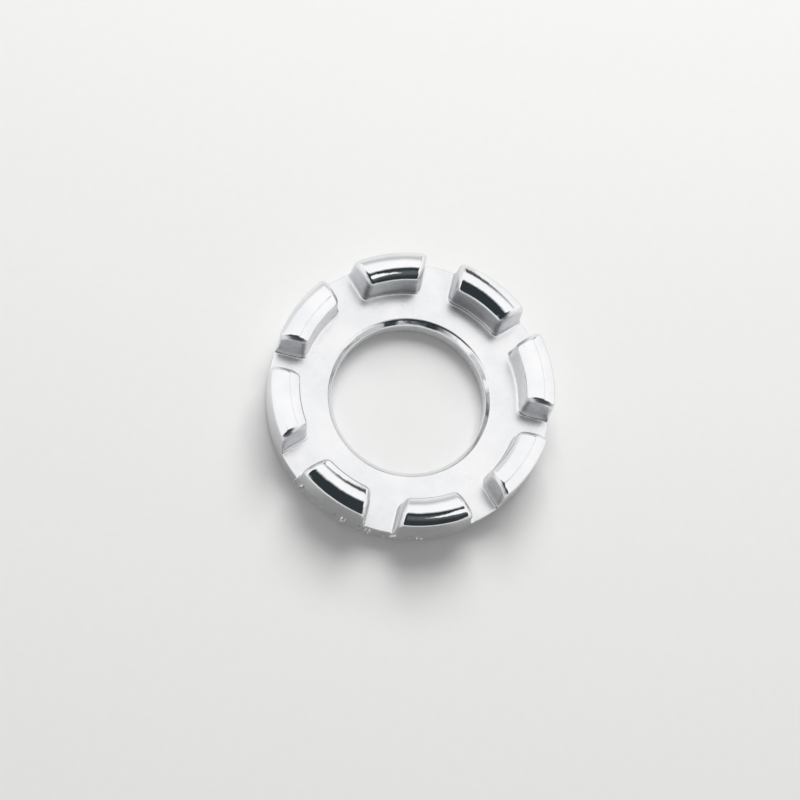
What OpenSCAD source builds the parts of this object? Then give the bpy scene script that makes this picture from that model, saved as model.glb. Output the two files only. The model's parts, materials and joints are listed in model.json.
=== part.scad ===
// Round spoke wrench: a chromed ring with a plain centre hole and a crown of
// eight domed jaw lugs. The gap between two neighbouring lugs is a slot that
// takes the flats of one size of spoke nipple.
// The ring stands on its flat back at z = 0, with the jaws facing up.

/* [Ring] */
// Outside diameter of the ring
ring_d = 40; // [38:0.5:46]
// Diameter of the hole through the middle
bore_d = 21.8; // [18:0.2:24]
// Thickness of the flat web under the jaws
web_h = 3.8; // [3:0.1:6]
// Width of the bevel round the front of the hole
bore_bevel_w = 0.7; // [0.3:0.05:1]
// Depth of that bevel below the face of the web
bore_bevel_h = 0.8; // [0.3:0.05:1]
// Rounding of the back edge of the hole
bore_round = 0.6; // [0.3:0.05:1]
// Rounding of the outer edge of the back
back_round = 0.8; // [0.3:0.05:1.2]

/* [Jaw lugs] */
// Thickness of a lug from the foot of its inner wall to the outside of the ring
lug_t = 4.55; // [3.8:0.05:5]
// Height of a lug's inner wall above the web
lug_h = 4.7; // [3:0.1:6]
// Outward lean of a lug's inner wall, in degrees
lug_lean = 5; // [2:0.5:7]
// Rise of the domed top above the edge of the inner wall
dome_rise = 0.8; // [0.6:0.05:1.5]
// Fillet where a lug's inner wall meets the web
foot_round = 0.6; // [0.3:0.05:0.9]
// Ease on the upright corners of a lug
corner_ease = 0.45; // [0.2:0.05:0.6]

/* [Slots] */
// Width at the floor of slot 1, which lies along +X
slot_1_w = 3.2; // [2.8:0.1:5]
// Width at the floor of slot 2
slot_2_w = 4.4; // [2.8:0.1:5]
// Width at the floor of slot 3, which lies along +Y
slot_3_w = 4.3; // [2.8:0.1:5]
// Width at the floor of slot 4
slot_4_w = 3.6; // [2.8:0.1:5]
// Width at the floor of slot 5, which lies along -X
slot_5_w = 4.5; // [2.8:0.1:5]
// Width at the floor of slot 6
slot_6_w = 4.2; // [2.8:0.1:5]
// Width at the floor of slot 7, which lies along -Y
slot_7_w = 4.6; // [2.8:0.1:5]
// Width at the floor of slot 8
slot_8_w = 3.8; // [2.8:0.1:5]
// Lean of each slot wall away from the middle of its slot, in degrees
slot_lean = 3; // [1:0.5:5]
// Length of the sloping lip at the outer end of a slot floor
lip_l = 2; // [1:0.1:3]
// Drop of that lip at the outside of the ring
lip_drop = 0.3; // [0.2:0.05:1]

/* [Hidden] */
$fn = 96;

// How far a cut runs past the face that it opens
overrun = 1;
chrome = [0.80, 0.81, 0.83];

ring_r = ring_d / 2;
bore_r = bore_d / 2;

// Slots lie at equal angles, and lug i stands between slot i and the next one
slot_ws = [
    slot_1_w, slot_2_w, slot_3_w, slot_4_w,
    slot_5_w, slot_6_w, slot_7_w, slot_8_w
];
slot_count = len(slot_ws);
pitch = 360 / slot_count;

// The inner wall runs from its foot up to the edge of the dome
foot_r = ring_r - lug_t;
edge_r = foot_r + lug_h * tan(lug_lean);

// The dome is an arc over the chord from that edge to the outside of the ring
dome_w = ring_r - edge_r;
dome_r = (dome_w * dome_w / 4 + dome_rise * dome_rise) / (2 * dome_rise);
dome_mid_r = edge_r + dome_w / 2;
dome_mid_z = lug_h + dome_rise - dome_r;
lug_top = lug_h + dome_rise;

// Centre of the fillet arc that touches the inner wall at the lug's foot
fillet_r = foot_r + foot_round * tan(lug_lean) - foot_round / cos(lug_lean);
fillet_steps = 6;

// How far the cut of the bevel runs past both of its edges
bevel_run = overrun * bore_bevel_w / bore_bevel_h;

// What the rounding of a square corner at the origin takes away
module corner_cut(radius) {
    difference() {
        translate([-overrun, -overrun])
            square(radius + overrun);
        translate([radius, radius])
            circle(radius);
    }
}

// Half section of the web, with the front of the hole bevelled and its back edges rounded
module web_section() {
    difference() {
        translate([bore_r, 0])
            square([ring_r - bore_r, web_h]);
        translate([bore_r, 0])
            corner_cut(bore_round);
        translate([bore_r, web_h])
            polygon([
                [-bevel_run, -bore_bevel_h * (1 + bevel_run / bore_bevel_w)],
                [bore_bevel_w + bevel_run, bore_bevel_h * bevel_run / bore_bevel_w],
                [-bevel_run, overrun]
            ]);
        translate([ring_r, 0])
            mirror([1, 0])
                corner_cut(back_round);
    }
}

// Section of a lug above the web: filleted foot, leaning inner wall, domed top,
// upright outside
module lug_section() {
    difference() {
        polygon(concat(
            [for (k = [0:fillet_steps])
                let (turn = k * (90 - lug_lean) / fillet_steps)
                [fillet_r + foot_round * sin(turn), foot_round * (1 - cos(turn))]
            ],
            [
                [foot_r + (lug_top + overrun) * tan(lug_lean), lug_top + overrun],
                [ring_r, lug_top + overrun],
                [ring_r, 0]
            ]
        ));
        difference() {
            translate([foot_r - overrun, dome_mid_z])
                square([lug_t + 2 * overrun, dome_r + 2 * overrun]);
            translate([dome_mid_r, dome_mid_z])
                circle(dome_r);
        }
    }
}

// Turns to slot i, counted from 1, with x along the middle of the slot
module at_slot(i) {
    rotate([0, 0, (i - 1) * pitch])
        children();
}

function slot_w(i) = slot_ws[(i - 1) % slot_count];

// Space of slot i between its leaning walls, from below the web face to above the lugs
module slot_space(i) {
    low = web_h - overrun;
    high = web_h + lug_top + overrun;
    half_low = slot_w(i) / 2 - overrun * tan(slot_lean);
    half_high = slot_w(i) / 2 + (lug_top + overrun) * tan(slot_lean);
    at_slot(i)
        rotate([90, 0, 90])
            linear_extrude(ring_r + overrun)
                polygon([
                    [-half_low, low],
                    [half_low, low],
                    [half_high, high],
                    [-half_high, high]
                ]);
}

// Wedge that slopes the outer end of slot i's floor
module slot_lip(i) {
    run = lip_l + overrun;
    at_slot(i)
        translate([ring_r - lip_l, slot_w(i) / 2, web_h])
            rotate([90, 0, 0])
                linear_extrude(slot_w(i))
                    polygon([
                        [0, 0],
                        [run, -lip_drop * run / lip_l],
                        [run, overrun],
                        [0, overrun]
                    ]);
}

// Prism that eases one upright corner of a lug beside slot i.
// side says which wall of the slot, and face is 1 on the inner wall of the lug
// and -1 on the outside. radius and lean are those of that wall
module corner_prism(i, side, face, radius, lean) {
    half = slot_w(i) / 2;
    at_slot(i)
        translate([sqrt(radius * radius - half * half), side * half, web_h])
            rotate([-side * slot_lean, lean, 0])
                translate([0, 0, -overrun])
                    linear_extrude(lug_top + 2 * overrun)
                        rotate(atan2(side, face))
                            translate([corner_ease / sqrt(2) - 2 * overrun, -overrun])
                                square(2 * overrun);
}

module web_ring() {
    color(chrome)
        difference() {
            rotate_extrude()
                web_section();
            for (i = [1:slot_count])
                slot_lip(i);
        }
}

module jaw_lug(i) {
    color(chrome)
        difference() {
            at_slot(i)
                translate([0, 0, web_h])
                    rotate_extrude(angle = pitch)
                        lug_section();
            slot_space(i);
            slot_space(i + 1);
            corner_prism(i, 1, 1, foot_r, lug_lean);
            corner_prism(i, 1, -1, ring_r, 0);
            corner_prism(i + 1, -1, 1, foot_r, lug_lean);
            corner_prism(i + 1, -1, -1, ring_r, 0);
        }
}

web_ring();
jaw_lug(1);  // jaw_lug_1
jaw_lug(2);  // jaw_lug_2
jaw_lug(3);  // jaw_lug_3
jaw_lug(4);  // jaw_lug_4
jaw_lug(5);  // jaw_lug_5
jaw_lug(6);  // jaw_lug_6
jaw_lug(7);  // jaw_lug_7
jaw_lug(8);  // jaw_lug_8
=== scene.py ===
import json
import math

import bpy
import numpy as np
from mathutils import Matrix, Vector


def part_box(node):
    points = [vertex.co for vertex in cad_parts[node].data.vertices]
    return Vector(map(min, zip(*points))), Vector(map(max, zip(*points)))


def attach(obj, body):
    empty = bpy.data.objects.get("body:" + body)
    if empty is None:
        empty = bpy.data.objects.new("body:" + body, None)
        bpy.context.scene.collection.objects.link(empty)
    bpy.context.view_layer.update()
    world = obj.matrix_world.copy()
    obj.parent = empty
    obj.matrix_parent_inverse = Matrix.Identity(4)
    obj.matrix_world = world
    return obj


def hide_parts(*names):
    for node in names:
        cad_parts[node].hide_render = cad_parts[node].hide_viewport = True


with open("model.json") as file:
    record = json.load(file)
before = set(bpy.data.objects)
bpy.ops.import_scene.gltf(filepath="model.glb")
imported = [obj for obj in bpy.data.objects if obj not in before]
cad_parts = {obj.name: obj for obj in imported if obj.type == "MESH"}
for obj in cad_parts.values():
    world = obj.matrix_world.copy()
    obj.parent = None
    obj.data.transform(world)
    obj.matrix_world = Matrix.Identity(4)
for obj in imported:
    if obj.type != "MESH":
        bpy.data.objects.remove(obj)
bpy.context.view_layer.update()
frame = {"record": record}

# A round spoke wrench: one chrome-plated zinc casting, a flat ring with a plain hole and a crown of
# eight domed jaw lugs. The gap between two lugs is a slot for one size of spoke nipple.
# Lengths are in millimetres until a mesh is made, and angles are in radians.
MM = 0.001

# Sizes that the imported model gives
web_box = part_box("web_ring")
lug_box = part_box("jaw_lug_1")
mounts = {mount["name"]: mount for mount in frame["record"]["mounts"]}
RING_R = web_box[1].x / MM
WEB_H = web_box[1].z / MM
TOP_Z = lug_box[1].z / MM
BORE_R = mounts["centre_hole"]["dims"]["r_mm"]

# Lugs: a leaning inner wall, a domed top and an upright outside. The lean, like the drop of the slots'
# lips, follows the mirrored bands of the photograph, and is a little less than in the solids
LUG_T = 4.35
DOME_RISE = 0.8
LUG_LEAN = math.radians(2.5)
WALL_H = TOP_Z - WEB_H - DOME_RISE
FOOT_R = RING_R - LUG_T
EDGE_R = FOOT_R + WALL_H * math.tan(LUG_LEAN)
DOME_W = RING_R - EDGE_R
DOME_R = (DOME_W ** 2 / 4 + DOME_RISE ** 2) / (2 * DOME_RISE)
DOME_MID_R = EDGE_R + DOME_W / 2
DOME_MID_H = WALL_H + DOME_RISE - DOME_R

# Slots, numbered anticlockwise from +X, with their widths at the floor
SLOT_WS = (3.2, 4.4, 4.3, 3.6, 4.5, 4.2, 4.6, 3.8)
SLOT_COUNT = len(SLOT_WS)
PITCH = math.tau / SLOT_COUNT
SLOT_LEAN = math.radians(3)
LIP_L = 2
LIP_DROP = 0.12
LIP_START_R = RING_R - LIP_L
LIP_SLOPE = math.atan2(LIP_DROP, LIP_L)

# A blend of this many radii rounds a square edge by about that radius
BLEND = 1.75
BACK_SOFT = 0.8 * BLEND
BORE_BACK_SOFT = 0.6 * BLEND
CORNER_SOFT = 0.8 * BLEND
FLANK_SOFT = 0.5 * BLEND
CREASE_SOFT = 0.3
FOOT_SOFT = 0.35 * BLEND
LIP_SOFT = 0.3
RIM_SOFT = 0.13 * BLEND
BEVEL_SOFT = 0.2

# Spans over which the rounding of the lugs' ends comes in: depth into a lug from its slot, and height over
# the web. At the slot's floor the rim is this much sharper than elsewhere
FLANK_DEPTHS = (-0.8, -0.1)
FLANK_RISES = (0.2, 1.0)
FLOOR_RIM = 0.75

# Bevels round the front of the bore and across the ends of the domes
BORE_BEVEL_W = 0.7
BORE_BEVEL_H = 0.8
BORE_BEVEL_SLOPE = math.atan2(BORE_BEVEL_H, BORE_BEVEL_W)
END_BEVEL = 0.55

# Named inputs of the casting's tree
SIZES = {
    "Ring radius": RING_R,
    "Bore radius": BORE_R,
    "Web height": WEB_H,
    "Foot radius": FOOT_R,
    "Wall height": WALL_H,
    "Lug lean": LUG_LEAN,
    "Dome radius": DOME_R,
    "Dome middle radius": DOME_MID_R,
    "Dome middle height": DOME_MID_H,
    "Slot pitch": PITCH,
    "Slot lean": SLOT_LEAN,
    "Lip start radius": LIP_START_R,
    "Lip slope": LIP_SLOPE,
    "Back rounding": BACK_SOFT,
    "Bore back rounding": BORE_BACK_SOFT,
    "Bore bevel width": BORE_BEVEL_W,
    "Bore bevel slope": BORE_BEVEL_SLOPE,
    "Corner rounding": CORNER_SOFT,
    "Flank rounding": FLANK_SOFT,
    "End bevel": END_BEVEL,
    "Bevel rounding": BEVEL_SOFT,
    "Crease rounding": CREASE_SOFT,
    "Foot fillet": FOOT_SOFT,
    "Lip rounding": LIP_SOFT,
    "Rim rounding": RIM_SOFT,
}
SLOT_NAMES = [f"Slot {i + 1} width" for i in range(SLOT_COUNT)]
SIZES.update(zip(SLOT_NAMES, SLOT_WS))

# The casting is sampled on a grid of radius, turn and height
TURN_STEPS = 640
TURN_SPARE = 4
GRID_MARGIN = 0.4
GRID_STEP = 0.18
SNAPS = 3
PROBE = 0.01
MERGE = 0.001
# How far the buffing wheel brings the outside, the bevels, the web's flat faces and the numbers towards
# a full polish
OUTSIDE_BUFF = 0.8
MOUTH_BUFF = 0.9
BEVEL_BUFF = 0.4
FACE_BUFF = 0.5
NUMBER_BUFF = 0.2
# Spans over which that polish fades: in from the outside, below the edge of the domes, out from the
# bore's bevel and down from it
OUTSIDE_FADE = (0.3, 0.05)
DOME_FADE = (0.6, 0.1)
MOUTH_FADE = 0.1
MOUTH_DROP = 0.15
# The skin is parted into web and lugs this far above the web's face
SEAM_RISE = 0.12

# How far the floor lies under the wrench's back, the longest mirrored ray that counts as coming from the
# back, and half the floor's width
FLOOR_GAP = 0.02
FLOOR_NEAR = 0.1
FLOOR_HALF = 2000

# The photograph's view: image direction of slot 1, lean of the ring's axis from the view,
# the image direction that it leans to, and the ring's scale and place in the image
SLOT_1_DIR = math.radians(31)
AXIS_LEAN = math.radians(18.85)
LEAN_DIR = math.radians(66)
CAMERA_D = 380
IMAGE_PX = 800
PX_PER_MM = 7.11
RING_PX = (409.4, 397.2)
SENSOR = 36

# Raised gauge numbers round the outside of the web
NUMBERS = "10 11 12 13 14 15"
NUMBER_SIZES = {
    "Letter size": 2.3,
    "Letter spacing": 1.22,
    "Ring radius": RING_R,
    "First turn": math.radians(184),
    "Foot height": 1.4,
    "Sunk": 0.15,
    "Proud": 0.18,
}

MATH = "ShaderNodeMath"
VECTOR = "ShaderNodeVectorMath"


def add(tree, kind, *values, inputs=None, **settings):
    """Adds a node with its settings; values, in order, and inputs, by key, are links or constants."""
    node = tree.nodes.new(kind)
    for name, value in settings.items():
        setattr(node, name, value)
    for key, value in [*enumerate(values), *(inputs or {}).items()]:
        if value is None:
            continue
        if isinstance(value, bpy.types.Node):
            value = value.outputs[0]
        if isinstance(value, bpy.types.NodeSocket):
            tree.links.new(value, node.inputs[key])
        else:
            node.inputs[key].default_value = value
    return node


def linear(hex_colour):
    """Linear RGBA of an sRGB hex colour."""
    parts = [int(hex_colour[i:i + 2], 16) / 255 for i in (1, 3, 5)]
    return [c / 12.92 if c <= 0.04045 else ((c + 0.055) / 1.055) ** 2.4 for c in parts] + [1]


def per_mm(size):
    """Texture scale that gives features of this size in millimetres on Object coordinates."""
    return 1 / (size * MM)


def sized_tree(name, has_point):
    """A geometry tree with the casting's sizes as named inputs, and a point where it works on one."""
    tree = bpy.data.node_groups.new(name, "GeometryNodeTree")
    if has_point:
        tree.interface.new_socket("Point", in_out="INPUT", socket_type="NodeSocketVector")
    for size in SIZES:
        tree.interface.new_socket(size, in_out="INPUT", socket_type="NodeSocketFloat")
    return tree, add(tree, "NodeGroupInput").outputs


def round_axis(tree, radius, turn, height):
    """Point at this radius, turn and height round the ring's axis."""
    turn_cos = add(tree, MATH, turn, operation="COSINE")
    turn_sine = add(tree, MATH, turn, operation="SINE")
    x = add(tree, MATH, radius, turn_cos, operation="MULTIPLY")
    y = add(tree, MATH, radius, turn_sine, operation="MULTIPLY")
    return add(tree, "ShaderNodeCombineXYZ", x, y, height)


def skin_distance_tree():
    """Distance from a point to the casting's skin, below zero in the metal."""
    tree, given = sized_tree("distance to the skin", True)
    tree.interface.new_socket("Distance", in_out="OUTPUT", socket_type="NodeSocketFloat")
    x, y, z = add(tree, "ShaderNodeSeparateXYZ", given["Point"]).outputs
    flat = add(tree, VECTOR, given["Point"], (1, 1, 0), operation="MULTIPLY")
    radius = add(tree, VECTOR, flat, operation="LENGTH").outputs["Value"]
    rise = add(tree, MATH, z, given["Web height"], operation="SUBTRACT")

    # Nearest slot, and how far the point lies from the middle of it
    turn = add(tree, MATH, y, x, operation="ARCTAN2")
    turns = add(tree, MATH, turn, given["Slot pitch"], operation="DIVIDE")
    slot = add(tree, MATH, turns, operation="ROUND")
    slot_turn = add(tree, MATH, slot, given["Slot pitch"], operation="MULTIPLY")
    off_turn = add(tree, MATH, turn, slot_turn, operation="SUBTRACT")
    off_sine = add(tree, MATH, off_turn, operation="SINE")
    off = add(tree, MATH, radius, off_sine, operation="MULTIPLY")
    across = add(tree, MATH, off, operation="ABSOLUTE")
    number = add(tree, MATH, slot, float(SLOT_COUNT), operation="FLOORED_MODULO")
    width = add(tree, "GeometryNodeIndexSwitch", number, data_type="FLOAT")
    while len(width.index_switch_items) < SLOT_COUNT:
        width.index_switch_items.new()
    for i, name in enumerate(SLOT_NAMES):
        tree.links.new(given[name], width.inputs[i + 1])

    # Slot walls lean away from the slot's middle
    half = add(tree, MATH, width, 0.5, operation="MULTIPLY")
    slot_tan = add(tree, MATH, given["Slot lean"], operation="TANGENT")
    slot_cos = add(tree, MATH, given["Slot lean"], operation="COSINE")
    half_here = add(tree, MATH, rise, slot_tan, half, operation="MULTIPLY_ADD")
    gap_flat = add(tree, MATH, half_here, across, operation="SUBTRACT")
    gap = add(tree, MATH, gap_flat, slot_cos, operation="MULTIPLY")

    # Inner wall of the lugs
    lug_tan = add(tree, MATH, given["Lug lean"], operation="TANGENT")
    lug_cos = add(tree, MATH, given["Lug lean"], operation="COSINE")
    wall_r = add(tree, MATH, rise, lug_tan, given["Foot radius"], operation="MULTIPLY_ADD")
    wall_flat = add(tree, MATH, wall_r, radius, operation="SUBTRACT")
    wall = add(tree, MATH, wall_flat, lug_cos, operation="MULTIPLY")

    # Dome over the lugs, which sets no bound below its own middle
    dome_in = add(tree, MATH, radius, given["Dome middle radius"], operation="SUBTRACT")
    dome_up = add(tree, MATH, rise, given["Dome middle height"], operation="SUBTRACT")
    dome_over = add(tree, MATH, dome_up, 0.0, operation="MAXIMUM")
    dome_under = add(tree, MATH, dome_up, 0.0, operation="MINIMUM")
    dome_arm = add(tree, "ShaderNodeCombineXYZ", dome_in, dome_over)
    dome_reach = add(tree, VECTOR, dome_arm, operation="LENGTH").outputs["Value"]
    dome_shell = add(tree, MATH, dome_reach, given["Dome radius"], operation="SUBTRACT")
    dome = add(tree, MATH, dome_shell, dome_under, operation="ADD")

    # A lug's upright corners are rounded, and its dome ends in bevels
    upright = add(tree, MATH, wall, gap, given["Corner rounding"], operation="SMOOTH_MAX")
    end_sum = add(tree, MATH, dome, gap, operation="ADD")
    end_cut = add(tree, MATH, end_sum, given["End bevel"], operation="ADD")
    end_bevel = add(tree, MATH, end_cut, math.sqrt(0.5), operation="MULTIPLY")
    ended = add(tree, MATH, dome, end_bevel, given["Bevel rounding"], operation="SMOOTH_MAX")
    lug = add(tree, MATH, ended, upright, given["Crease rounding"], operation="SMOOTH_MAX")

    # Web face, which slopes down to the rim at its outer end
    lip_sine = add(tree, MATH, given["Lip slope"], operation="SINE")
    lip_cos = add(tree, MATH, given["Lip slope"], operation="COSINE")
    past_lip = add(tree, MATH, radius, given["Lip start radius"], operation="SUBTRACT")
    lip_up = add(tree, MATH, rise, lip_cos, operation="MULTIPLY")
    lip = add(tree, MATH, past_lip, lip_sine, lip_up, operation="MULTIPLY_ADD")
    face = add(tree, MATH, rise, lip, given["Lip rounding"], operation="SMOOTH_MAX")
    top = add(tree, MATH, face, lug, given["Foot fillet"], operation="SMOOTH_MIN")

    # Outside and back. The outer edges of the lugs' ends are rounder than the rest of the rim
    outside = add(tree, MATH, radius, given["Ring radius"], operation="SUBTRACT")
    back = add(tree, MATH, z, -1.0, operation="MULTIPLY")
    shell = add(tree, MATH, outside, back, given["Back rounding"], operation="SMOOTH_MAX")
    by_end = add(tree, "ShaderNodeMapRange", gap, *FLANK_DEPTHS)
    above = add(tree, "ShaderNodeMapRange", rise, *FLANK_RISES)
    flank = add(tree, MATH, by_end, above, operation="MULTIPLY")
    rounder = add(tree, MATH, given["Flank rounding"], given["Rim rounding"], operation="SUBTRACT")
    floor_edge = add(tree, "ShaderNodeMapRange", rise, *FLANK_RISES, FLOOR_RIM, 1.0)
    plain_rim = add(tree, MATH, given["Rim rounding"], floor_edge, operation="MULTIPLY")
    rim = add(tree, MATH, flank, rounder, plain_rim, operation="MULTIPLY_ADD")
    body = add(tree, MATH, top, shell, rim, operation="SMOOTH_MAX")

    # Bore, bevelled at the front and rounded at the back
    bore = add(tree, MATH, given["Bore radius"], radius, operation="SUBTRACT")
    bevel_in = add(tree, MATH, bore, given["Bore bevel width"], operation="ADD")
    bevel_sine = add(tree, MATH, given["Bore bevel slope"], operation="SINE")
    bevel_cos = add(tree, MATH, given["Bore bevel slope"], operation="COSINE")
    bevel_up = add(tree, MATH, rise, bevel_cos, operation="MULTIPLY")
    bevel = add(tree, MATH, bevel_in, bevel_sine, bevel_up, operation="MULTIPLY_ADD")
    mouth = add(tree, MATH, bore, bevel, given["Bevel rounding"], operation="SMOOTH_MAX")
    holed = add(tree, MATH, body, mouth, given["Bevel rounding"], operation="SMOOTH_MAX")
    bore_back = add(tree, MATH, back, bore, given["Bore back rounding"], operation="SMOOTH_MAX")
    skin = add(tree, MATH, holed, bore_back, operation="MAXIMUM")
    add(tree, "NodeGroupOutput", skin)
    return tree


def skin_slope_tree(distance_tree):
    """Distance to the skin and the direction in which it grows fastest."""
    tree, given = sized_tree("slope of the skin", True)
    tree.interface.new_socket("Distance", in_out="OUTPUT", socket_type="NodeSocketFloat")
    tree.interface.new_socket("Slope", in_out="OUTPUT", socket_type="NodeSocketVector")
    here = add(tree, "GeometryNodeGroup", node_tree=distance_tree, inputs=dict(given.items()[:-1]))
    slopes = []
    for axis in range(3):
        ends = []
        for way in (PROBE, -PROBE):
            step = [0.0, 0.0, 0.0]
            step[axis] = way
            point = add(tree, VECTOR, given["Point"], step, operation="ADD")
            at_end = dict(given.items()[:-1])
            at_end["Point"] = point
            ends.append(add(tree, "GeometryNodeGroup", node_tree=distance_tree, inputs=at_end))
        change = add(tree, MATH, *ends, operation="SUBTRACT")
        slopes.append(add(tree, MATH, change, 2 * PROBE, operation="DIVIDE"))
    add(tree, "NodeGroupOutput", here, add(tree, "ShaderNodeCombineXYZ", *slopes))
    return tree


def casting_tree(material):
    """The whole casting: its skin is meshed round the ring's axis and then drawn onto the exact shape."""
    distance_tree = skin_distance_tree()
    slope_tree = skin_slope_tree(distance_tree)
    tree, given = sized_tree("casting", False)
    tree.interface.new_socket("Geometry", in_out="OUTPUT", socket_type="NodeSocketGeometry")
    sizes = dict(given.items()[:-1])
    position = add(tree, "GeometryNodeInputPosition")

    # Grid of radius, turn and height, rolled up round the axis
    radius, turn, height = add(tree, "ShaderNodeSeparateXYZ", position).outputs
    rolled = round_axis(tree, radius, turn, height)
    distance = add(tree, "GeometryNodeGroup", node_tree=distance_tree, inputs={**sizes, "Point": rolled})
    metal = add(tree, MATH, 1.0, distance, operation="SUBTRACT")
    turn_step = math.tau / TURN_STEPS
    low = (BORE_R - GRID_MARGIN, -TURN_SPARE * turn_step, -GRID_MARGIN)
    high = (RING_R + GRID_MARGIN, math.tau + TURN_SPARE * turn_step, TOP_Z + GRID_MARGIN)
    grid = add(tree, "GeometryNodeVolumeCube", metal, 0.0, low, high)
    grid.inputs["Resolution X"].default_value = round((high[0] - low[0]) / GRID_STEP)
    grid.inputs["Resolution Y"].default_value = TURN_STEPS + 2 * TURN_SPARE + 1
    grid.inputs["Resolution Z"].default_value = round((high[2] - low[2]) / GRID_STEP)
    mesh = add(tree, "GeometryNodeVolumeToMesh", grid, inputs={"Threshold": 1.0, "Adaptivity": 0.0})

    # One full turn is kept, from a quarter of a step past the start, and its ends are joined
    from_middle = add(tree, MATH, turn, math.pi + turn_step / 4, operation="SUBTRACT")
    spread = add(tree, MATH, from_middle, operation="ABSOLUTE")
    spare = add(tree, MATH, spread, math.pi, operation="GREATER_THAN")
    mesh = add(tree, "GeometryNodeDeleteGeometry", mesh, spare, domain="FACE", mode="ALL")
    mesh = add(tree, "GeometryNodeSetPosition", mesh, None, rolled)
    mesh = add(tree, "GeometryNodeMergeByDistance", mesh, inputs={"Distance": MERGE})

    # Each step moves every point along the slope onto the skin
    for _ in range(SNAPS):
        slope = add(tree, "GeometryNodeGroup", node_tree=slope_tree, inputs={**sizes, "Point": position})
        steep = add(tree, VECTOR, slope.outputs["Slope"], slope.outputs["Slope"], operation="DOT_PRODUCT")
        ratio = add(tree, MATH, slope.outputs["Distance"], steep.outputs["Value"], operation="DIVIDE")
        back = add(tree, MATH, ratio, -1.0, operation="MULTIPLY")
        move = add(tree, VECTOR, slope.outputs["Slope"], operation="SCALE", inputs={"Scale": back})
        mesh = add(tree, "GeometryNodeSetPosition", mesh, None, None, move)

    # Exact normals, and, from where a face lies and which way it turns, how well the buffing wheel reaches:
    # fully on the domes, less on the bore's bevel and the outside, half on the web's face and back, and not
    # at all on the walls between the lugs. Where it is low, the chrome's colour also gets greyer spots,
    # partly painted shade in these recessed walls
    slope = add(tree, "GeometryNodeGroup", node_tree=slope_tree, inputs={**sizes, "Point": position})
    normal = add(tree, VECTOR, slope.outputs["Slope"], operation="NORMALIZE")
    facing = add(tree, "ShaderNodeSeparateXYZ", normal).outputs["Z"]
    flat = add(tree, VECTOR, position, (1, 1, 0), operation="MULTIPLY")
    reach = add(tree, VECTOR, flat, operation="LENGTH").outputs["Value"]
    up_facing = add(tree, "ShaderNodeMapRange", facing, 0.15, 0.4)
    twist = add(tree, VECTOR, flat, normal, operation="CROSS_PRODUCT")
    swing = add(tree, "ShaderNodeSeparateXYZ", twist).outputs["Z"]
    sideways = add(tree, MATH, swing, reach, operation="DIVIDE")
    endways = add(tree, MATH, sideways, operation="ABSOLUTE")
    off_bevel = add(tree, "ShaderNodeMapRange", endways, 0.5, 0.2, BEVEL_BUFF, 1.0)
    dome_edge = [TOP_Z - DOME_RISE - fade for fade in DOME_FADE]
    high_up = add(tree, "ShaderNodeMapRange", height, *dome_edge)
    on_top = add(tree, MATH, up_facing, high_up, operation="MULTIPLY")
    on_dome = add(tree, MATH, on_top, off_bevel, operation="MULTIPLY")
    near_outside = [RING_R - fade for fade in OUTSIDE_FADE]
    on_outside = add(tree, "ShaderNodeMapRange", reach, *near_outside, 0.0, OUTSIDE_BUFF)
    level = add(tree, MATH, facing, operation="ABSOLUTE")
    on_face = add(tree, "ShaderNodeMapRange", level, 0.6, 0.95, 0.0, FACE_BUFF)
    mouth_r = BORE_R + BORE_BEVEL_W
    by_bore = add(tree, "ShaderNodeMapRange", reach, mouth_r + MOUTH_FADE, mouth_r, 0.0, MOUTH_BUFF)
    mouth_z = WEB_H - BORE_BEVEL_H
    over_bore = add(tree, "ShaderNodeMapRange", height, mouth_z - MOUTH_DROP, mouth_z)
    on_mouth = add(tree, MATH, by_bore, over_bore, operation="MULTIPLY")
    off_dome = add(tree, MATH, on_outside, on_face, operation="MAXIMUM")
    by_wheel = add(tree, MATH, on_dome, off_dome, operation="MAXIMUM")
    buffed = add(tree, MATH, on_mouth, by_wheel, operation="MAXIMUM")
    mesh = add(tree, "GeometryNodeStoreNamedAttribute", mesh, None, "skin_normal",
               data_type="FLOAT_VECTOR", domain="POINT", inputs={"Value": normal})
    mesh = add(tree, "GeometryNodeStoreNamedAttribute", mesh, None, "buffed",
               data_type="FLOAT", domain="POINT", inputs={"Value": buffed})
    metres = add(tree, VECTOR, position, operation="SCALE", inputs={"Scale": MM})
    mesh = add(tree, "GeometryNodeSetPosition", mesh, None, metres)
    mesh = add(tree, "GeometryNodeSetShadeSmooth", mesh)
    mesh = add(tree, "GeometryNodeSetMaterial", mesh, inputs={"Material": material})
    add(tree, "NodeGroupOutput", add(tree, "GeometryNodeRealizeInstances", mesh))
    return tree


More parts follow.
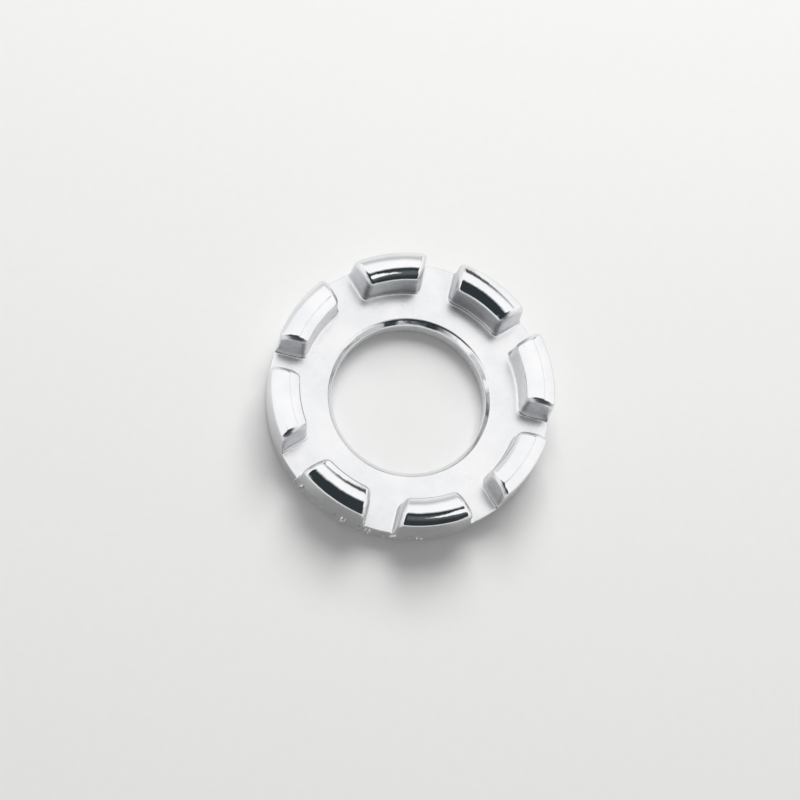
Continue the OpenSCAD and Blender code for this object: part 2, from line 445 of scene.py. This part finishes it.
def numbers_tree(material):
    """Raised numbers that stand round the outside of the ring, with their feet towards its back."""
    tree = bpy.data.node_groups.new("gauge numbers", "GeometryNodeTree")
    tree.interface.new_socket("Numbers", in_out="INPUT", socket_type="NodeSocketString")
    for size in NUMBER_SIZES:
        tree.interface.new_socket(size, in_out="INPUT", socket_type="NodeSocketFloat")
    tree.interface.new_socket("Geometry", in_out="OUTPUT", socket_type="NodeSocketGeometry")
    given = add(tree, "NodeGroupInput").outputs

    # Flat letters, raised, with a back that closes them
    letters = add(tree, "GeometryNodeStringToCurves", inputs={
        "String": given["Numbers"], "Size": given["Letter size"],
        "Character Spacing": given["Letter spacing"]})
    outlines = add(tree, "GeometryNodeRealizeInstances", letters)
    faces = add(tree, "GeometryNodeFillCurve", outlines)
    tall = add(tree, MATH, given["Sunk"], given["Proud"], operation="ADD")
    raised = add(tree, "GeometryNodeExtrudeMesh", faces, mode="FACES", inputs={
        "Offset Scale": tall, "Individual": False})
    closing = add(tree, "GeometryNodeFlipFaces", faces)
    joined = add(tree, "GeometryNodeJoinGeometry", raised)
    tree.links.new(closing.outputs[0], joined.inputs[0])
    mesh = add(tree, "GeometryNodeMergeByDistance", joined, inputs={"Distance": MERGE})

    # Bent round the ring
    position = add(tree, "GeometryNodeInputPosition")
    along, high, out = add(tree, "ShaderNodeSeparateXYZ", position).outputs
    past = add(tree, MATH, along, given["Ring radius"], operation="DIVIDE")
    turn = add(tree, MATH, past, given["First turn"], operation="ADD")
    buried = add(tree, MATH, given["Ring radius"], given["Sunk"], operation="SUBTRACT")
    radius = add(tree, MATH, buried, out, operation="ADD")
    height = add(tree, MATH, high, given["Foot height"], operation="ADD")
    bent = round_axis(tree, radius, turn, height)
    metres = add(tree, VECTOR, bent, operation="SCALE", inputs={"Scale": MM})
    mesh = add(tree, "GeometryNodeSetPosition", mesh, None, metres)
    mesh = add(tree, "GeometryNodeSetShadeSmooth", mesh, inputs={"Shade Smooth": False})
    mesh = add(tree, "GeometryNodeStoreNamedAttribute", mesh, None, "buffed",
               data_type="FLOAT", domain="POINT", inputs={"Value": NUMBER_BUFF})
    mesh = add(tree, "GeometryNodeSetMaterial", mesh, inputs={"Material": material})
    add(tree, "NodeGroupOutput", add(tree, "GeometryNodeRealizeInstances", mesh))
    return tree


def made_mesh(tree, values):
    """Plain mesh that a geometry tree makes with these values for its named inputs."""
    carrier = bpy.data.objects.new("carrier", bpy.data.meshes.new("carrier"))
    bpy.context.scene.collection.objects.link(carrier)
    modifier = carrier.modifiers.new("tree", "NODES")
    modifier.node_group = tree
    for item in tree.interface.items_tree:
        if item.in_out == "INPUT":
            modifier[item.identifier] = values[item.name]
    ready = carrier.evaluated_get(bpy.context.evaluated_depsgraph_get())
    mesh = bpy.data.meshes.new_from_object(ready)
    bpy.data.objects.remove(carrier)
    return mesh


def piece_of(name, mesh, *nodes):
    """A finished piece that rides on the wrench and stands for these CAD nodes."""
    piece = bpy.data.objects.new(name, mesh)
    bpy.context.scene.collection.objects.link(piece)
    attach(piece, "root")
    if nodes:
        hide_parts(*nodes)
    return piece


def open_loops(faces):
    """Closed loops of the edges that only one face has, in the order that a cap needs."""
    after = {}
    starts = faces.ravel()
    ends = np.roll(faces, -1, axis=1).ravel()
    edges = set(zip(starts.tolist(), ends.tolist()))
    for start, end in edges:
        if (end, start) not in edges:
            after[end] = start
    loops = []
    while after:
        first, point = after.popitem()
        loop = [first]
        while point != first:
            loop.append(point)
            point = after.pop(point)
        loops.append(loop)
    return loops


def part_casting(whole, material):
    """Parts the casting's skin into the web and its lugs, and closes each where they meet."""
    count = len(whole.vertices)
    points = np.zeros(count * 3)
    normals = np.zeros(count * 3)
    buffed = np.zeros(count)
    whole.vertices.foreach_get("co", points)
    whole.attributes["skin_normal"].data.foreach_get("vector", normals)
    whole.attributes["buffed"].data.foreach_get("value", buffed)
    points = points.reshape(-1, 3)
    normals = normals.reshape(-1, 3)
    quads = np.array([face.vertices[:] for face in whole.polygons])
    middles = points[quads].mean(axis=1)
    turn = np.arctan2(middles[:, 1], middles[:, 0]) % math.tau
    lug_of = np.floor(turn / PITCH).astype(int) + 1
    is_lug = middles[:, 2] > (WEB_H + SEAM_RISE) * MM
    owner = np.where(is_lug, lug_of, 0)
    for number in range(SLOT_COUNT + 1):
        name = f"jaw_lug_{number}" if number else "web_ring"
        used, faces = np.unique(quads[owner == number], return_inverse=True)
        faces = faces.reshape(-1, 4)
        loops = open_loops(faces)
        hubs = np.array([points[used[loop]].mean(axis=0) for loop in loops])
        caps = []
        for hub, loop in enumerate(loops, len(used)):
            caps += [(start, end, hub) for start, end in zip(loop, loop[1:] + loop[:1])]
        out = [0, 0, -1 if number else 1]
        mesh = bpy.data.meshes.new(f"{name}_skin")
        mesh.from_pydata(np.vstack([points[used], hubs]), [], faces.tolist() + caps)
        mesh.shade_smooth()
        mark = mesh.attributes.new("buffed", "FLOAT", "POINT")
        mark.data.foreach_set("value", np.append(buffed[used], [0] * len(loops)))
        mesh.normals_split_custom_set_from_vertices(np.vstack([normals[used], [out] * len(loops)]))
        mesh.materials.append(material)
        piece_of(f"{name}_skin", mesh, name)


def chrome_material():
    """Bright chrome plating on a zinc die casting that was buffed before plating: a hard, cool mirror on
    the domes, with a soft waviness and hairlines from the wheel. The web's face is satin, and the walls
    that the wheel can't reach stay dull, with the grain of the die."""
    material = bpy.data.materials.new("bright chrome plating on buffed zinc casting")
    material.use_nodes = True
    tree = material.node_tree
    tree.nodes.clear()
    place = add(tree, "ShaderNodeTexCoord").outputs["Object"]
    buffed = add(tree, "ShaderNodeAttribute", attribute_name="buffed").outputs["Fac"]
    raw = add(tree, "ShaderNodeMapRange", buffed, 0.0, 0.35, 1.0, 0.0)
    worked = add(tree, "ShaderNodeMapRange", buffed, 0.5, 0.9, 0.3, 1.0)

    # White metal, a shade greyer in cloudy patches 5 mm across
    clouds = add(tree, "ShaderNodeTexNoise", place, inputs={"Scale": per_mm(5), "Detail": 4.0})
    tone = add(tree, "ShaderNodeValToRGB", clouds)
    tone.color_ramp.elements[0].position = 0.35
    tone.color_ramp.elements[0].color = linear("#e9eaec")
    tone.color_ramp.elements[1].position = 0.6
    tone.color_ramp.elements[1].color = linear("#f1f1f2")

    # Soft greyer spots 0.7 mm across on the walls where the wheel didn't reach: partly the duller, unbuffed
    # plating and partly painted shade that darkens these recessed walls
    spots = add(tree, "ShaderNodeTexNoise", place, inputs={"Scale": per_mm(0.7), "Detail": 4.0})
    spotted = add(tree, "ShaderNodeMapRange", spots, 0.35, 0.75)
    dull_and_shaded_spot = add(tree, MATH, spotted, raw, operation="MULTIPLY")
    # Greyer colour in the recessed walls: the duller plating there, with painted shade
    metal = add(tree, "ShaderNodeMix", data_type="RGBA", inputs={0: dull_and_shaded_spot, 6: tone, 7: linear("#dedfe2")})

    # Haze in patches 1.5 mm across over the polish that the wheel gave
    haze = add(tree, "ShaderNodeTexNoise", place, inputs={"Scale": per_mm(1.5), "Detail": 4.0})
    hazy = add(tree, "ShaderNodeMapRange", haze, 0.3, 0.7, -0.015, 0.03)
    polish = add(tree, "ShaderNodeMapRange", buffed, 0.0, 1.0, 0.45, 0.05)
    dull = add(tree, MATH, polish, hazy, operation="ADD")

    # Waviness of the buffed skin, 3 mm, 1 mm and 0.45 mm from crest to crest
    waves = add(tree, "ShaderNodeTexNoise", place, inputs={"Scale": per_mm(3), "Detail": 1.0})
    wavy = add(tree, "ShaderNodeBump", inputs={"Height": waves, "Distance": 0.035 * MM, "Strength": worked})
    ripples = add(tree, "ShaderNodeTexNoise", place, inputs={"Scale": per_mm(1), "Detail": 1.0})
    rippled = add(tree, "ShaderNodeBump", inputs={
        "Height": ripples, "Distance": 0.01 * MM, "Strength": worked, "Normal": wavy})
    peel = add(tree, "ShaderNodeTexNoise", place, inputs={"Scale": per_mm(0.45), "Detail": 1.0})
    peeled = add(tree, "ShaderNodeBump", inputs={
        "Height": peel, "Distance": 0.004 * MM, "Strength": 1.0, "Normal": rippled})

    # Hairlines from buffing, drawn 0.1 mm wide, which is coarser than real so that they show
    turned = add(tree, "ShaderNodeMapping", place, inputs={"Rotation": (0.2, 0.1, 0.7)})
    drawn = add(tree, VECTOR, turned, (per_mm(0.1), per_mm(4), per_mm(0.1)), operation="MULTIPLY")
    hairs = add(tree, "ShaderNodeTexNoise", drawn, inputs={"Scale": 1.0, "Detail": 1.0})
    haired = add(tree, "ShaderNodeBump", inputs={
        "Height": hairs, "Distance": 0.0012 * MM, "Strength": 1.0, "Normal": peeled})

    # Grain of the die where the wheel didn't reach, 0.5 mm across
    grain = add(tree, "ShaderNodeTexNoise", place, inputs={"Scale": per_mm(0.5), "Detail": 3.0})
    grainy = add(tree, "ShaderNodeBump", inputs={
        "Height": grain, "Distance": 0.014 * MM, "Strength": raw, "Normal": haired})

    chrome = add(tree, "ShaderNodeBsdfPrincipled", inputs={
        "Base Color": metal.outputs[2], "Metallic": 1.0, "Roughness": dull, "Normal": grainy})
    add(tree, "ShaderNodeOutputMaterial", chrome)
    return material


def floor_material():
    """Matt white paper under the wrench."""
    material = bpy.data.materials.new("matt white paper")
    material.use_nodes = True
    tree = material.node_tree
    tree.nodes.clear()
    place = add(tree, "ShaderNodeTexCoord").outputs["Object"]
    fibres = add(tree, "ShaderNodeTexNoise", place, inputs={"Scale": per_mm(1.5), "Detail": 2.0})
    tone = add(tree, "ShaderNodeValToRGB", fibres)
    tone.color_ramp.elements[0].color = linear("#ededec")
    tone.color_ramp.elements[1].color = linear("#f0f0ef")
    paper = add(tree, "ShaderNodeBsdfPrincipled", inputs={"Base Color": tone, "Roughness": 0.9})

    # Clear from below, and to the wrench's back just above it, so that the back shows from there
    path = add(tree, "ShaderNodeLightPath").outputs
    touching = add(tree, MATH, path["Ray Length"], FLOOR_NEAR * MM, operation="LESS_THAN")
    to_back = add(tree, MATH, touching, path["Is Glossy Ray"], operation="MULTIPLY")
    under = add(tree, "ShaderNodeNewGeometry").outputs["Backfacing"]
    through = add(tree, MATH, to_back, under, operation="MAXIMUM")
    clear = add(tree, "ShaderNodeBsdfTransparent")
    add(tree, "ShaderNodeOutputMaterial", add(tree, "ShaderNodeMixShader", through, paper, clear))
    return material


def add_floor():
    """A wide pale floor just under the wrench's back."""
    half = FLOOR_HALF * MM
    low = -FLOOR_GAP * MM
    corners = [(-half, -half, low), (half, -half, low), (half, half, low), (-half, half, low)]
    mesh = bpy.data.meshes.new("floor")
    mesh.from_pydata(corners, [], [(0, 1, 2, 3)])
    mesh.materials.append(floor_material())
    floor = bpy.data.objects.new("floor", mesh)
    bpy.context.scene.collection.objects.link(floor)


def image_direction(turn, up):
    """World direction that points this way in the image, raised this far above the floor."""
    flat = turn - SLOT_1_DIR
    return Vector((math.cos(flat) * math.cos(up), math.sin(flat) * math.cos(up), math.sin(up)))


def add_world():
    """White studio walls, dark over and behind the camera, with a window in the dark's right part. A dark
    post and a grey rail stand opposite. The chrome mirrors all this as its bands and lines. Spans are
    parts of a direction: aside to the image's right, near to its bottom, and up to the zenith."""
    world = bpy.data.worlds.new("studio")
    world.use_nodes = True
    bpy.context.scene.world = world
    tree = world.node_tree
    tree.nodes.clear()
    way = add(tree, "ShaderNodeTexCoord").outputs["Generated"]
    up = add(tree, "ShaderNodeSeparateXYZ", way).outputs["Z"]
    aside = add(tree, VECTOR, way, image_direction(0, 0), operation="DOT_PRODUCT").outputs["Value"]
    to_near = image_direction(-math.pi / 2, 0)
    near = add(tree, VECTOR, way, to_near, operation="DOT_PRODUCT").outputs["Value"]

    # The dark begins softly at the zenith. Its left edge slants, and its right edge steps out low down,
    # which leaves a window above the step
    begun = add(tree, "ShaderNodeMapRange", near, -0.09, 0.05)
    left_slant = add(tree, MATH, near, 0.5, 0.5, operation="MULTIPLY_ADD")
    left_room = add(tree, MATH, left_slant, aside, operation="ADD")
    left = add(tree, "ShaderNodeMapRange", left_room, -0.06, 0.04)
    step = add(tree, "ShaderNodeMapRange", near, 0.44, 0.5, 0.38, 0.84)
    step_low = add(tree, "ShaderNodeMapRange", up, 0.14, 0.08, 0.0, 0.25)
    steps = add(tree, MATH, step, step_low, operation="ADD")
    right_edge = add(tree, MATH, near, -0.4, steps, operation="MULTIPLY_ADD")
    right_room = add(tree, MATH, right_edge, aside, operation="SUBTRACT")
    right = add(tree, "ShaderNodeMapRange", right_room, -0.02, 0.02)
    sides = add(tree, MATH, left, right, operation="MULTIPLY")
    dark = add(tree, MATH, begun, sides, operation="MULTIPLY")

    # Pale foot along its left part, and a faint streak left of the window
    foot_low = add(tree, "ShaderNodeMapRange", up, 0.4, 0.28)
    foot_side = add(tree, "ShaderNodeMapRange", aside, -0.38, -0.62)
    foot = add(tree, MATH, foot_low, foot_side, operation="MULTIPLY")
    streak_head = add(tree, "ShaderNodeMapRange", near, 0.2, 0.35)
    streak_foot = add(tree, "ShaderNodeMapRange", near, 0.68, 0.5, 0.0, 0.08)
    streak_side = add(tree, "ShaderNodeMapRange", aside, -0.02, 0.1)
    streak_tall = add(tree, MATH, streak_head, streak_foot, operation="MULTIPLY")
    streak = add(tree, MATH, streak_tall, streak_side, operation="MULTIPLY")
    pale = add(tree, MATH, foot, streak, operation="MAXIMUM")
    solid = add(tree, MATH, 1.0, pale, operation="SUBTRACT")
    shade = add(tree, MATH, dark, solid, operation="MULTIPLY")

    # Dark post opposite, which leans a little and has soft ends
    post_middle = add(tree, MATH, near, 0.2, 0.51, operation="MULTIPLY_ADD")
    post_side = add(tree, MATH, aside, post_middle, operation="SUBTRACT")
    post_off = add(tree, MATH, post_side, operation="ABSOLUTE")
    post_wide = add(tree, "ShaderNodeMapRange", post_off, 0.1, 0.04)
    post_head = add(tree, "ShaderNodeMapRange", near, -0.46, -0.66)
    post_foot = add(tree, "ShaderNodeMapRange", up, 0.18, 0.36, 0.0, 0.95)
    post_tall = add(tree, MATH, post_head, post_foot, operation="MULTIPLY")
    post = add(tree, MATH, post_tall, post_wide, operation="MULTIPLY")

    # Faint seam that runs on from the post to the zenith
    seam_side = add(tree, MATH, aside, 0.42, operation="SUBTRACT")
    seam_off = add(tree, MATH, seam_side, operation="ABSOLUTE")
    seam_wide = add(tree, "ShaderNodeMapRange", seam_off, 0.035, 0.01, 0.0, 0.22)
    seam_far = add(tree, "ShaderNodeMapRange", near, 0.08, 0.0)
    seam = add(tree, MATH, seam_wide, seam_far, operation="MULTIPLY")
    post = add(tree, MATH, post, seam, operation="MAXIMUM")

    # Grey rail to the left of it, which drops towards its left end
    rail_level = add(tree, MATH, aside, -0.4, up, operation="MULTIPLY_ADD")
    rail_head = add(tree, "ShaderNodeMapRange", rail_level, 0.74, 0.54)
    rail_foot = add(tree, "ShaderNodeMapRange", up, 0.2, 0.5, 0.12, 0.43)
    rail_side = add(tree, "ShaderNodeMapRange", aside, 0.27, 0.2)
    rail_far = add(tree, "ShaderNodeMapRange", near, -0.3, -0.6)
    rail_tall = add(tree, MATH, rail_head, rail_foot, operation="MULTIPLY")
    rail_wide = add(tree, MATH, rail_side, rail_far, operation="MULTIPLY")
    rail = add(tree, MATH, rail_tall, rail_wide, operation="MULTIPLY")
    posts = add(tree, MATH, post, rail, operation="MAXIMUM")
    shade = add(tree, MATH, shade, posts, operation="MAXIMUM")

    path = add(tree, "ShaderNodeLightPath").outputs
    mirrored = add(tree, MATH, shade, path["Is Glossy Ray"], operation="MULTIPLY")
    tone = add(tree, "ShaderNodeValToRGB", mirrored)
    tone.color_ramp.elements[0].color = linear("#ffffff")
    tone.color_ramp.elements[1].color = linear("#30373a")
    walls = add(tree, "ShaderNodeMapRange", up, 0.0, 1.0, 1.03, 1.1)
    plain = add(tree, "ShaderNodeMix", path["Is Camera Ray"], None, 0.35, 1.0)
    level = add(tree, "ShaderNodeMix", path["Is Glossy Ray"], None, plain, walls)
    sky = add(tree, "ShaderNodeBackground", inputs={"Color": tone, "Strength": level})
    add(tree, "ShaderNodeOutputWorld", sky)


def add_lamp(name, turn, up, distance, size, power):
    """A square soft lamp that faces the wrench, in metres and watts; the chrome mirrors the studio walls
    in its place."""
    lamp = bpy.data.lights.new(name, "AREA")
    lamp.size = size
    lamp.energy = power
    holder = bpy.data.objects.new(name, lamp)
    holder.visible_glossy = False
    bpy.context.scene.collection.objects.link(holder)
    way = image_direction(turn, up)
    holder.location = way * distance
    holder.rotation_mode = "QUATERNION"
    holder.rotation_quaternion = way.to_track_quat("Z", "Y")


def add_camera():
    """The photograph's viewpoint, with the ring at the same place and size in the image."""
    camera = bpy.data.cameras.new("camera")
    camera.sensor_width = SENSOR
    camera.lens = PX_PER_MM * CAMERA_D / IMAGE_PX * SENSOR
    holder = bpy.data.objects.new("camera", camera)
    bpy.context.scene.collection.objects.link(holder)
    lean_axis = Vector((-math.sin(LEAN_DIR), math.cos(LEAN_DIR), 0))
    turn = Matrix.Rotation(-SLOT_1_DIR, 3, "Z") @ Matrix.Rotation(-AXIS_LEAN, 3, lean_axis)
    off_x = (RING_PX[0] - IMAGE_PX / 2) / PX_PER_MM
    off_y = (IMAGE_PX / 2 - RING_PX[1]) / PX_PER_MM
    ring = Vector((0, 0, WEB_H))
    holder.location = (ring - turn @ Vector((off_x, off_y, -CAMERA_D))) * MM
    holder.rotation_mode = "QUATERNION"
    holder.rotation_quaternion = turn.to_quaternion()
    camera.clip_start = 10 * MM
    camera.clip_end = 10000 * MM
    bpy.context.scene.camera = holder


add_camera()
add_floor()
add_world()
add_lamp("softbox", turn=math.radians(80), up=math.radians(52), distance=0.6, size=0.4, power=3.2)
chrome = chrome_material()
part_casting(made_mesh(casting_tree(chrome), SIZES), chrome)
piece_of("gauge_numbers", made_mesh(numbers_tree(chrome), {"Numbers": NUMBERS, **NUMBER_SIZES}))
bpy.context.scene.view_settings.view_transform = "Standard"
